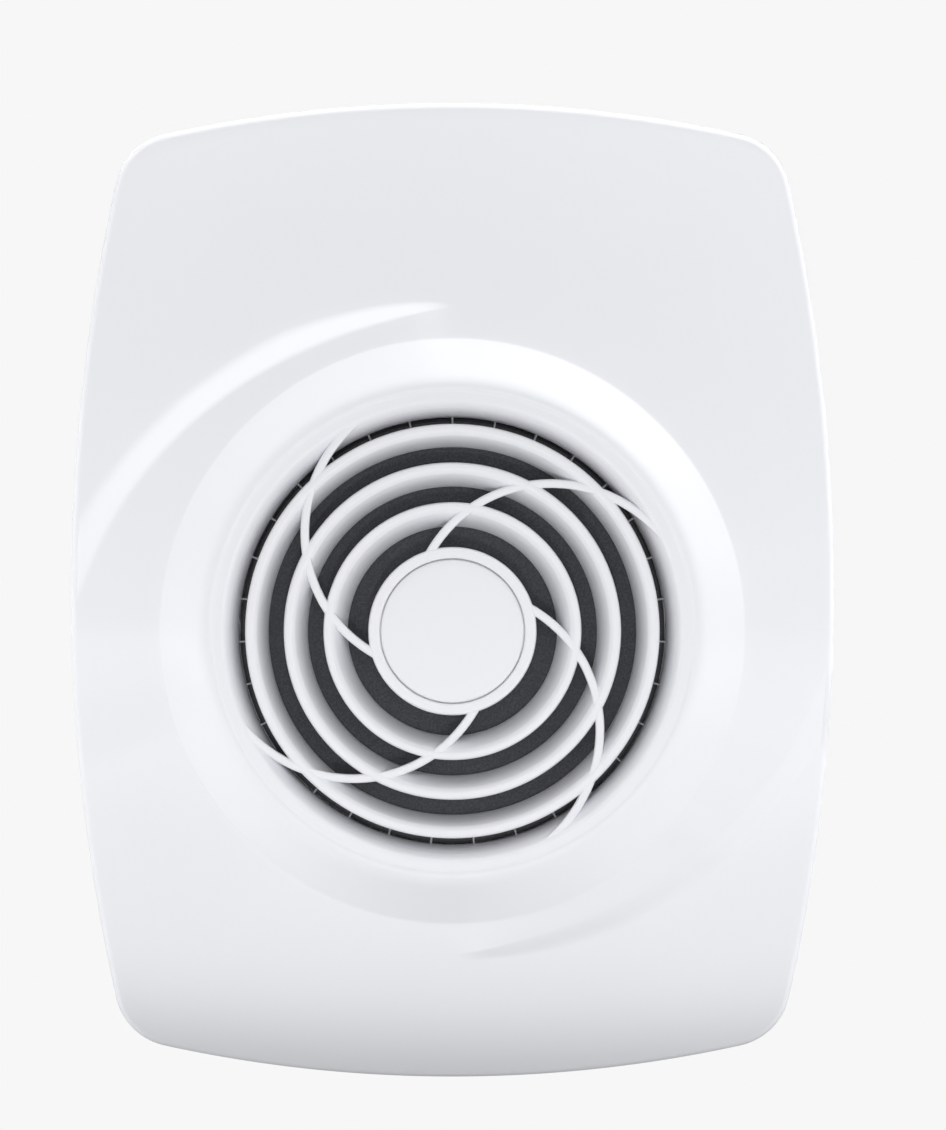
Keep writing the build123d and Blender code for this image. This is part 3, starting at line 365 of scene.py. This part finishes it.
WHITE = (0.852, 0.861, 0.894)
MATS = {
    "white_gloss": moulded("cover_white", WHITE, rough=(0.2, 0.25), vary=0.006, grain=1400, depth=0.00001, strength=0.15),
    "white_satin": moulded("grille_white", (0.862, 0.871, 0.904), rough=(0.32, 0.4), vary=0.008, grain=1400, depth=0.00001, strength=0.2),
    "filter_foam": foam("filter_foam", (0.048, 0.050, 0.055), (0.070, 0.072, 0.079), cell=1700.0, depth=0.00022, strength=0.45),
    "grey_plastic": moulded("moulded_grey", (0.46, 0.47, 0.48), rough=(0.42, 0.55), vary=0.05, grain=700),
    "dark_plastic": moulded("nylon_black", (0.028, 0.029, 0.031), rough=(0.42, 0.58), vary=0.2, grain=600, strength=0.35),
    "rubber": moulded("rubber_black", (0.02, 0.02, 0.021), rough=(0.6, 0.8), vary=0.2, grain=500, strength=0.4, spec=0.3),
    "pvc": pvc("pvc_pipe", (0.60, 0.60, 0.58)),
    "plates": moulded("polystyrene_film", (0.72, 0.77, 0.8), rough=(0.25, 0.35), vary=0.03, grain=260, strength=0.3),
    "foam": foam("closed_cell_foam", (0.08, 0.085, 0.095), (0.16, 0.165, 0.175), cell=1300.0, depth=0.0002, strength=0.5),
    "steel": metal("plated_steel", (0.58, 0.58, 0.6)),
    "core": metal("laminated_steel", (0.2, 0.2, 0.21), rough=(0.4, 0.55), stretch=(1, 400, 1), scale=10),
    "magnet": moulded("ferrite", (0.05, 0.05, 0.055), rough=(0.5, 0.7), vary=0.2, grain=400),
    "copper": metal("copper_wire", (0.72, 0.30, 0.14), rough=(0.22, 0.36), stretch=(1, 900, 1), scale=8),
    "brass": metal("plated_brass", (0.72, 0.56, 0.28)),
    "board": board("circuit_laminate"),
    "terminal_green": moulded("terminal_green", (0.04, 0.28, 0.10), rough=(0.4, 0.5), vary=0.06),
    "black_chip": moulded("epoxy_black", (0.018, 0.018, 0.02), rough=(0.35, 0.5), vary=0.2),
    "blue_plastic": moulded("case_blue", (0.03, 0.10, 0.38), rough=(0.35, 0.45), vary=0.06),
    "sensor_white": moulded("sensor_white", (0.72, 0.72, 0.70), rough=(0.45, 0.55), vary=0.03),
    "can": metal("capacitor_sleeve", (0.10, 0.11, 0.16), rough=(0.3, 0.4)),
    "lead_grey": moulded("lead_grey", (0.07, 0.07, 0.075), rough=(0.45, 0.6), vary=0.1, spec=0.4),
    "mesh_steel": wire_mesh("woven_steel"),
    "outdoor_white": moulded("outdoor_white", (0.72, 0.72, 0.70), rough=(0.42, 0.56), vary=0.03, grain=500, strength=0.4),
}
slot_of = {s["node"]: s["material_slot"] for s in frame["record"]["subparts"]}
for n, o in NODES.items():
    o.data.materials.clear()
    o.data.materials.append(MATS[slot_of[n]])

# ------------------------------------------------------------------ cover
def outline():
    """The cover's outline as many points with outward normals, in (x, z)."""
    w, h, c = COVER_W / 2, COVER_H / 2, COVER_CZ
    x = w
    for _ in range(80):
        z = h - TOP_BOW + math.sqrt(TOP_BOW**2 - x * x)
        x = w - SIDE_BOW + math.sqrt(SIDE_BOW**2 - z * z)
    # corner fillet: the centre is CORNER_R inside both bows
    rs, rt = SIDE_BOW - CORNER_R, TOP_BOW - CORNER_R
    fx = w
    for _ in range(80):
        fz = h - TOP_BOW + math.sqrt(rt**2 - fx * fx)
        fx = w - SIDE_BOW + math.sqrt(rs**2 - fz * fz)
    a_side = math.atan2(fz, fx + SIDE_BOW - w)
    a_top = math.atan2(fz + TOP_BOW - h, fx)
    quarter = []
    for i in range(200):
        a = a_side * i / 200
        quarter.append((w - SIDE_BOW + SIDE_BOW * math.cos(a), SIDE_BOW * math.sin(a), a))
    for i in range(120):
        a = a_side + (a_top - a_side) * i / 120
        quarter.append((fx + CORNER_R * math.cos(a), fz + CORNER_R * math.sin(a), a))
    for i in range(201):
        a = a_top + (math.pi / 2 - a_top) * i / 200
        quarter.append((TOP_BOW * math.cos(a), h - TOP_BOW + TOP_BOW * math.sin(a), a))
    pts = []
    for sx, sz, rev in ((1, 1, False), (-1, 1, True), (-1, -1, False), (1, -1, True)):
        q = quarter[::-1] if rev else quarter
        for px, pz, a in q[:-1]:
            pts.append((sx * px, c + sz * pz, sx * math.cos(a), sz * math.sin(a)))
    return pts


OUT = outline()
OUT_ANG = [math.atan2(p[1], p[0]) % (2 * math.pi) for p in OUT]
order = sorted(range(len(OUT)), key=lambda i: OUT_ANG[i])
OUT = [OUT[i] for i in order]
OUT_ANG = [OUT_ANG[i] for i in order]


def outline_at(theta):
    theta %= 2 * math.pi
    lo, hi = 0, len(OUT_ANG)
    while lo < hi:
        mid = (lo + hi) // 2
        if OUT_ANG[mid] < theta:
            lo = mid + 1
        else:
            hi = mid
    i, j = (lo - 1) % len(OUT), lo % len(OUT)
    span_a = (OUT_ANG[j] - OUT_ANG[i]) % (2 * math.pi)
    t = ((theta - OUT_ANG[i]) % (2 * math.pi)) / span_a if span_a > 1e-9 else 0
    p = [OUT[i][k] * (1 - t) + OUT[j][k] * t for k in range(4)]
    n = math.hypot(p[2], p[3])
    return p[0], p[1], p[2] / n, p[3] / n


ROLL = 0.24  # share of the ring's slope that rolls over into its crest


def column(theta):
    """One radial line of the cover's shell, from the seam round to the seam again."""
    ct, st = math.cos(theta), math.sin(theta)
    px, pz, nx, nz = outline_at(theta)
    a = (math.degrees(theta) - 90) % 180
    g_in, g_out, h = step_at(a)
    ex, ez = px - nx * EDGE_R, pz - nz * EDGE_R
    r_edge = math.hypot(ex, ez)
    if a > 95:
        k = smooth((a - 95) / 80)
        lim = r_edge - 4
        g_in, g_out = min(g_in, lim - 3) * (1 - k) + 99.5 * k, min(g_out, lim - 1) * (1 - k) + 100.6 * k
    g_in = min(g_in, r_edge - 5.0)
    g_out = min(g_out, r_edge - 2.5)
    base = face_f(BASE_R * ct, BASE_R * st)
    col = []

    def at(r, f):
        col.append((r * ct, f, r * st))

    at(73.93, CREST_F - 0.36)
    at(74.2, CREST_F - 0.24)
    at(74.5, CREST_F - 0.13)
    at(74.95, CREST_F - 0.035)
    at(CREST_R + 0.4, CREST_F)
    for t in (0.05, 0.09, 0.13, 0.17, 0.21, 0.25, 0.29, 0.34, 0.4, 0.48, 0.56, 0.64, 0.72, 0.8, 0.87, 0.93, 0.97, 0.99):
        g = (t * t / (2 * ROLL) if t < ROLL else t - ROLL / 2) / (1 - ROLL / 2)
        at(CREST_R + 0.4 + 14.7 * t, CREST_F - (CREST_F - base) * g)
    for d in (0.12, 0.5):
        r = BASE_R + d
        at(r, face_f(r * ct, r * st) + (0.03 if d < 0.2 else 0))
    n1, n3 = 7, 20
    r0 = BASE_R + 0.5
    wide = g_out - g_in
    us = (-0.14, -0.1, -0.05, 0.0, 0.05, 0.1, 0.14, 0.22, 0.3, 0.4, 0.5, 0.6, 0.68, 0.78, 0.85, 0.92, 1.0, 1.08, 1.15, 1.22)
    rs = [r0 + (g_in - 0.2 * wide - r0) * i / n1 for i in range(1, n1 + 1)] + [g_in + wide * u for u in us]
    start = rs[-1]
    rs += [start + (r_edge - start) * i / n3 for i in range(1, n3 + 1)]
    even = smooth((a - 98) / 25) * (1 - smooth((a - 150) / 30)) if a > 98 else 0
    first = len(rs) - n3
    for i, r in enumerate(rs):
        r = r * (1 - even) + (r0 + (r_edge - r0) * (i + 1) / len(rs)) * even
        t = max(0.0, (i + 1 - first) / n3)
        x, z = r * (ct * (1 - t) + ex / r_edge * t), r * (st * (1 - t) + ez / r_edge * t)
        col.append((x, face_f(x, z), z))
    fe = face_f(ex, ez)
    for k in range(1, 9):
        al = math.radians(90 * k / 8)
        inset = EDGE_R * (1 - math.sin(al))
        col.append((px - nx * inset, fe - EDGE_R * (1 - math.cos(al)), pz - nz * inset))
    top = fe - EDGE_R
    for t in (0.33, 0.66):
        col.append((px, top + (SKIRT_REAR + 0.4 - top) * t, pz))
    col.append((px, SKIRT_REAR + 0.4, pz))
    col.append((px - nx * 0.12, SKIRT_REAR + 0.12, pz - nz * 0.12))
    col.append((px - nx * 0.4, SKIRT_REAR, pz - nz * 0.4))
    col.append((px - nx * (SKIN - 0.4), SKIRT_REAR, pz - nz * (SKIN - 0.4)))
    ix, iz = px - nx * SKIN, pz - nz * SKIN
    col.append((ix, SKIRT_REAR + 0.4, iz))
    ix2, iz2 = px - nx * (SKIN + 2.2), pz - nz * (SKIN + 2.2)
    fi = dome(ix2, iz2) - SKIN
    col.append((ix, fi - 2.6, iz))
    col.append((px - nx * (SKIN + 0.7), fi - 0.7, pz - nz * (SKIN + 0.7)))
    col.append((ix2, fi, iz2))
    r1 = math.hypot(ix2, iz2)
    for i in range(1, 10):
        t = i / 10
        x, z = ix2 * (1 - t) + 92.0 * ct * t, iz2 * (1 - t) + 92.0 * st * t
        col.append((x, dome(x, z) - SKIN, z))
    for r, f in ((91.0, 36.6), (89.0, 37.9), (86.4, 40.6), (83.0, 43.4), (80.2, 45.4), (77.6, 46.8), (76.4, 47.0),
                 (76.4, 43.3), (76.1, 43.0), (72.3, 43.0), (72.0, 43.3), (72.0, 47.7), (72.2, 47.9), (73.75, 47.9),
                 (73.95, 48.1)):
        at(r, min(f, dome(r * ct, r * st) - SKIN if r > 88 else f))
    return col


N_COL = 720
cols = [column(2 * math.pi * i / N_COL) for i in range(N_COL)]
m = len(cols[0])
verts = [p for c in cols for p in c]
faces = []
for i in range(N_COL):
    j = (i + 1) % N_COL
    for k in range(m):
        l = (k + 1) % m
        faces.append((i * m + k, j * m + k, j * m + l, i * m + l))
cover = make("cover_shell", verts, faces, "cover", MATS["white_gloss"], "white_gloss", sharp=24)

# push-fit pins behind the cover: a cross-ribbed post with a rounded tip
pins = []
for px, pz in ((90.0, 45.0), (-90.0, 45.0), (82.0, -85.0), (-82.0, -85.0)):
    top = dome(px, pz) - SKIN + 0.6
    pins.append(lathe_data([(0, 6.0), (1.6, 6.0), (2.4, 6.25), (2.85, 6.9), (3.0, 7.8), (3.0, 15.5), (3.0, 16.0), (3.7, 16.6),
                            (3.7, top - 3.0), (4.1, top - 1.4), (5.2, top - 0.3), (5.4, top), (0, top)], 32, px, pz, closed=False))
    for k in range(4):
        t = math.radians(45 + 90 * k)
        d = Vector((math.cos(t), math.sin(t)))
        s = Vector((-d.y, d.x)) * 0.7
        q = [Vector((px, pz)) + d * 3.2 + s, Vector((px, pz)) + d * 3.2 - s]
        e = [Vector((px, pz)) + d * 5.6 + s, Vector((px, pz)) + d * 5.6 - s]
        f = [Vector((px, pz)) + d * 8.6 + s, Vector((px, pz)) + d * 8.6 - s]
        pv = [(p.x, 17.5, p.y) for p in q] + [(p.x, 18.5, p.y) for p in e] + [(p.x, top - 0.4, p.y) for p in f] + [(p.x, top - 0.4, p.y) for p in q]
        pins.append((pv, [(0, 1, 3, 2), (2, 3, 5, 4), (4, 5, 7, 6), (6, 7, 1, 0), (0, 2, 4, 6), (1, 7, 5, 3)]))
v, f = join(pins)
make("cover_pins", v, f, "cover", MATS["white_gloss"], "white_gloss", sharp=40)
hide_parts("front_cover")

# ------------------------------------------------------------------ swirl grille
lip = rounded([(73.95, 49.9), (73.95, 50.14), (73.3, 50.03, 0.6), (71.2, 49.95, 0.8), (70.2, 49.55, 0.5), (69.4, 48.95, 0.5), (68.5, 47.95, 0.5),
               (67.7, 46.6, 0.5), (66.95, 44.7, 0.6), (66.3, 42.2, 0.8), (65.8, 39.0, 0.8), (65.7, 36.0, 0.5), (65.7, 28.0, 0.3),
               (67.7, 28.0, 0.3), (67.7, 40.6, 0.5), (71.4, 47.0, 0.5), (71.9, 48.1, 0.2), (73.8, 48.1)], 4)
lip_ob = make("grille_lip", *lathe_data(lip, 360), "cover", MATS["white_satin"], "white_satin", sharp=38)
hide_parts("swirl_grille")

blades = []
for ro, rb, ri in ((39.65, 36.9, 31.5), (51.85, 48.9, 43.8), (63.7, 60.6, 55.9)):
    # the blade's face starts nearly level at its nose and gets steeper towards the back
    k = (rb - ri - 0.6) / 4.1
    face = [(rb - d * k, GRILLE_F - dep, 0.6) for d, dep in ((0.5, 0.75), (1.0, 1.45), (1.6, 2.55), (2.2, 4.0), (2.8, 5.9), (3.4, 8.2))]
    prof = rounded([(ro, GRILLE_F - 2.1, 0.8), (ro - 0.1, GRILLE_F - 0.1, 1.5), (rb + 0.75, GRILLE_F + 0.1, 1.6)] + face
                   + [(rb - 4.1 * k, LOUVRE_REAR, 0.3), (rb - 4.1 * k + 1.3, LOUVRE_REAR, 0.3), (rb - 3 * k + 1.45, GRILLE_F - 6.8, 0.8),
                      (rb - 2 * k + 1.75, GRILLE_F - 4.4, 0.8), (ro - 0.2, GRILLE_F - 3.0, 0.3)], 5)
    blades.append(lathe_data(prof, 288))
make("grille_louvres", *join(blades), "cover", MATS["white_satin"], "white_satin", sharp=50)

hub = rounded([(25.9, GRILLE_F - 1.8, 0.6), (25.75, GRILLE_F + 0.2, 1.0), (23.0, GRILLE_F + 0.2, 0.5), (22.35, GRILLE_F - 0.15, 0.25),
               (22.35, GRILLE_F - 2.8, 0.2), (0.5, GRILLE_F - 2.8), (0.5, GRILLE_F - 4.6), (20.2, GRILLE_F - 4.6, 1.0),
               (19.6, LOUVRE_REAR, 0.3), (21.2, LOUVRE_REAR, 0.3)], 6)
make("grille_hub", *lathe_data(hub, 192), "cover", MATS["white_satin"], "white_satin", sharp=45)

disc = [(0, GRILLE_F - 2.7), (21.6, GRILLE_F - 2.7), (22.0, GRILLE_F - 2.4), (22.0, GRILLE_F - 0.62), (21.9, GRILLE_F - 0.3),
        (21.65, GRILLE_F - 0.1), (21.2, GRILLE_F), (20.0, GRILLE_F + 0.06), (16.0, GRILLE_F + 0.17), (10.0, GRILLE_F + 0.28), (4.0, GRILLE_F + 0.34), (0, GRILLE_F + 0.35)]
badge = make("badge_plain", *lathe_data(disc, 160, closed=False), "cover", MATS["white_satin"], "white_satin", sharp=45)
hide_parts("badge_disc")

SPOKE_FIT = (25.46, 0.424, 0.00629, -0.0000567)


def spoke_r(a):
    return SPOKE_FIT[0] + SPOKE_FIT[1] * a + SPOKE_FIT[2] * a * a + SPOKE_FIT[3] * a**3


section = rounded([(-1.35, 43.5, 0.2), (-1.35, GRILLE_F - 0.1, 0.95), (1.35, GRILLE_F - 0.1, 0.95), (1.35, 43.5, 0.2)], 5)
arms = []
for k in range(4):
    path = []
    for i in range(70):
        a = -6 + 88.5 * i / 69
        r = spoke_r(a) if a >= 0 else spoke_r(0) + a * 0.42
        if r > 72.6:
            break
        t = math.radians(105 + 90 * k - a)
        path.append(Vector((r * math.cos(t), r * math.sin(t))))
    arms.append(sweep_data(path, section))
make("grille_spokes", *join(arms), "cover", MATS["white_satin"], "white_satin", sharp=45)

webs = []
for k in range(31):
    t = math.pi / 2 + 2 * math.pi * k / 31
    d = Vector((math.cos(t), math.sin(t)))
    sec = [(-0.32, 36.2), (-0.04, 38.3), (0.04, 38.3), (0.32, 36.2)]
    webs.append(sweep_data([d * 57.9, d * 60.5, d * 63.3, d * 66.2], sec))
make("grille_webs", *join(webs), "cover", MATS["white_satin"], "white_satin", sharp=45)

# ------------------------------------------------------------------ filter foam: a disc with a torn-cell surface
verts, faces, rows = [], [], []
steps = 200
rings = [0.0] + [64.6 * (i / 58) for i in range(1, 59)]
for fr, side in ((36.1, 1), (31.1, -1)):
    rows_side = []
    for r in rings:
        if r == 0:
            rows_side.append([len(verts)])
            verts.append((0, fr, 0))
            continue
        row = []
        for i in range(steps):
            t = 2 * math.pi * i / steps
            x, z = r * math.cos(t), r * math.sin(t)
            d = noise.noise(Vector((x * 0.9, z * 0.9, side * 3.0))) * 0.32 + noise.noise(Vector((x * 0.12, z * 0.12, side * 9.0))) * 0.12
            row.append(len(verts))
            verts.append((x, fr + (d if side > 0 else 0), z))
        rows_side.append(row)
    rows.append(rows_side)
    for a, b in zip(rows_side, rows_side[1:]):
        for i in range(steps):
            j = (i + 1) % steps
            faces.append((a[0], b[i], b[j]) if len(a) == 1 else (a[i], a[j], b[j], b[i]))
for i in range(steps):
    j = (i + 1) % steps
    faces.append((rows[0][-1][i], rows[0][-1][j], rows[1][-1][j], rows[1][-1][i]))
filt = make("filter_foam_disc", verts, faces, "cover", MATS["filter_foam"], "filter_foam", sharp=60)
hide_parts("extract_filter")

# ------------------------------------------------------------------ floor, lights, world, camera
def floor_mat():
    mt, nt, b = new_mat("studio_floor")
    v = coords(nt)
    n = noise_node(nt, v, 3.0, 4.0)
    pale = ramp(nt, n, [(0.3, (0.80, 0.80, 0.80)), (0.7, (0.83, 0.83, 0.83))])
    nt.links.new(pale, b.inputs["Base Color"])
    nt.links.new(pale, b.inputs["Emission Color"])
    b.inputs["Emission Strength"].default_value = 0.9
    b.inputs["Roughness"].default_value = 0.7
    return mt


# the unit hangs high on a wall, so the floor is far below it; it is only a backdrop and casts no light back
fv, ff = lathe_data([(0, 0), (2000, 0), (10000, 0), (45000, 0)], 96, closed=False)
me = bpy.data.meshes.new("floor")
me.from_pydata([(x * MM, z * MM, -2.6) for x, _, z in fv], [], ff)
floor = bpy.data.objects.new("floor", me)
floor.data.materials.append(floor_mat())
scene.collection.objects.link(floor)
floor.visible_diffuse = floor.visible_glossy = floor.visible_shadow = False


def area(name, loc, target, size, power, color=(1, 1, 1), shape="RECTANGLE"):
    li = bpy.data.lights.new(name, "AREA")
    li.shape = shape
    li.size, li.size_y = size
    li.energy = power
    li.color = color
    ob = bpy.data.objects.new(name, li)
    scene.collection.objects.link(ob)
    ob.location = loc
    ob.rotation_mode = "QUATERNION"
    ob.rotation_quaternion = (Vector(target) - Vector(loc)).to_track_quat("-Z", "Y")
    ob.visible_camera = False
    return ob


def spot(name, z, power, x=0.022, dist=4.0, radius=1.2, low=-0.1435, soft_band=0.036):
    """A wide frontal spot whose soft lower edge falls on the cover's bottom edge."""
    half = math.atan(radius / dist)
    up = math.atan2(low - z, dist) + half
    inner = half - math.atan(soft_band / dist)
    li = bpy.data.lights.new(name, "SPOT")
    li.spot_size = 2 * half
    li.spot_blend = (math.cos(inner) - math.cos(half)) / (1 - math.cos(half))
    li.shadow_soft_size = 0.012
    li.energy = power
    ob = bpy.data.objects.new(name, li)
    scene.collection.objects.link(ob)
    ob.location = (x, -dist, z)
    ob.rotation_mode = "QUATERNION"
    ob.rotation_quaternion = Vector((0, math.cos(up), math.sin(up))).to_track_quat("-Z", "Y")
    ob.visible_camera = False
    ob.visible_glossy = False
    return ob


area("front_strip", (0.0, -0.32, -0.06), (0, 0, -0.04), (1.0, 0.08), 0.281)
area("front_panel", (0.0, -0.45, -0.11), (0, 0, -0.11), (0.5, 0.22), 0.116)
area("front_high", (0.0, -1.2, 0.7), (0, 0, 0), (1.2, 0.4), 0.303)
spot("front_spot", -0.05, 108.5)
spot("low_spot", -1.0, 116.6)
spot("high_spot", 1.2, 38.6)
area("top", (0.0, -0.03, 1.0), (0, -0.03, 0), (1.0, 0.12), 8.41).visible_glossy = False
area("top_right", (0.7, -0.03, 0.75), (0, -0.03, 0), (0.6, 0.12), 1.67).visible_glossy = False
area("right", (1.0, -0.03, 0.0), (0, -0.03, 0), (0.12, 0.6), 3.77).visible_glossy = False
area("left", (-1.0, -0.03, 0.0), (0, -0.03, 0), (0.12, 0.6), 3.89).visible_glossy = False
area("left_low", (-0.75, -0.03, -0.7), (0, -0.03, 0), (0.3, 0.3), 0.3).visible_glossy = False
area("right_low", (0.9, -0.5, -0.7), (0, 0, 0), (0.4, 0.4), 0.15)
area("back_fill", (-0.4, 1.5, 0.9), (0, 0.2, 0), (1.4, 1.0), 8.0)

world = bpy.data.worlds.new("studio")
scene.world = world
world.use_nodes = True
wn = world.node_tree
bg = wn.nodes["Background"]
tc = wn.nodes.new("ShaderNodeTexCoord")
sep = wn.nodes.new("ShaderNodeSeparateXYZ")
wn.links.new(tc.outputs["Generated"], sep.inputs["Vector"])
cr = wn.nodes.new("ShaderNodeValToRGB")
mr = wn.nodes.new("ShaderNodeMapRange")
mr.inputs["From Min"].default_value, mr.inputs["From Max"].default_value = -1.0, 1.0
wn.links.new(sep.outputs["Z"], mr.inputs["Value"])
wn.links.new(mr.outputs["Result"], cr.inputs["Fac"])
els = cr.color_ramp.elements
stops = [(0.0, 0.3), (0.40, 0.3), (0.47, 0.93), (0.53, 0.93), (0.60, 0.10), (1.0, 0.10)]
while len(els) < len(stops):
    els.new(0.5)
for e, (p, c) in zip(els, stops):
    e.position = p
    e.color = (c, c, c, 1)
wn.links.new(cr.outputs["Color"], bg.inputs["Color"])
bg.inputs["Strength"].default_value = 1.0

scene.view_settings.view_transform = "Standard"

cam_data = bpy.data.cameras.new("camera")
cam_data.lens = 500
cam_data.sensor_width = 36
cam = bpy.data.objects.new("camera", cam_data)
scene.collection.objects.link(cam)
cam.location = (0.00633, -(4.844 + 0.025), 0.0203)
cam.rotation_euler = (math.radians(90), 0, 0)
cam_data.clip_start, cam_data.clip_end = 0.1, 60
scene.camera = cam
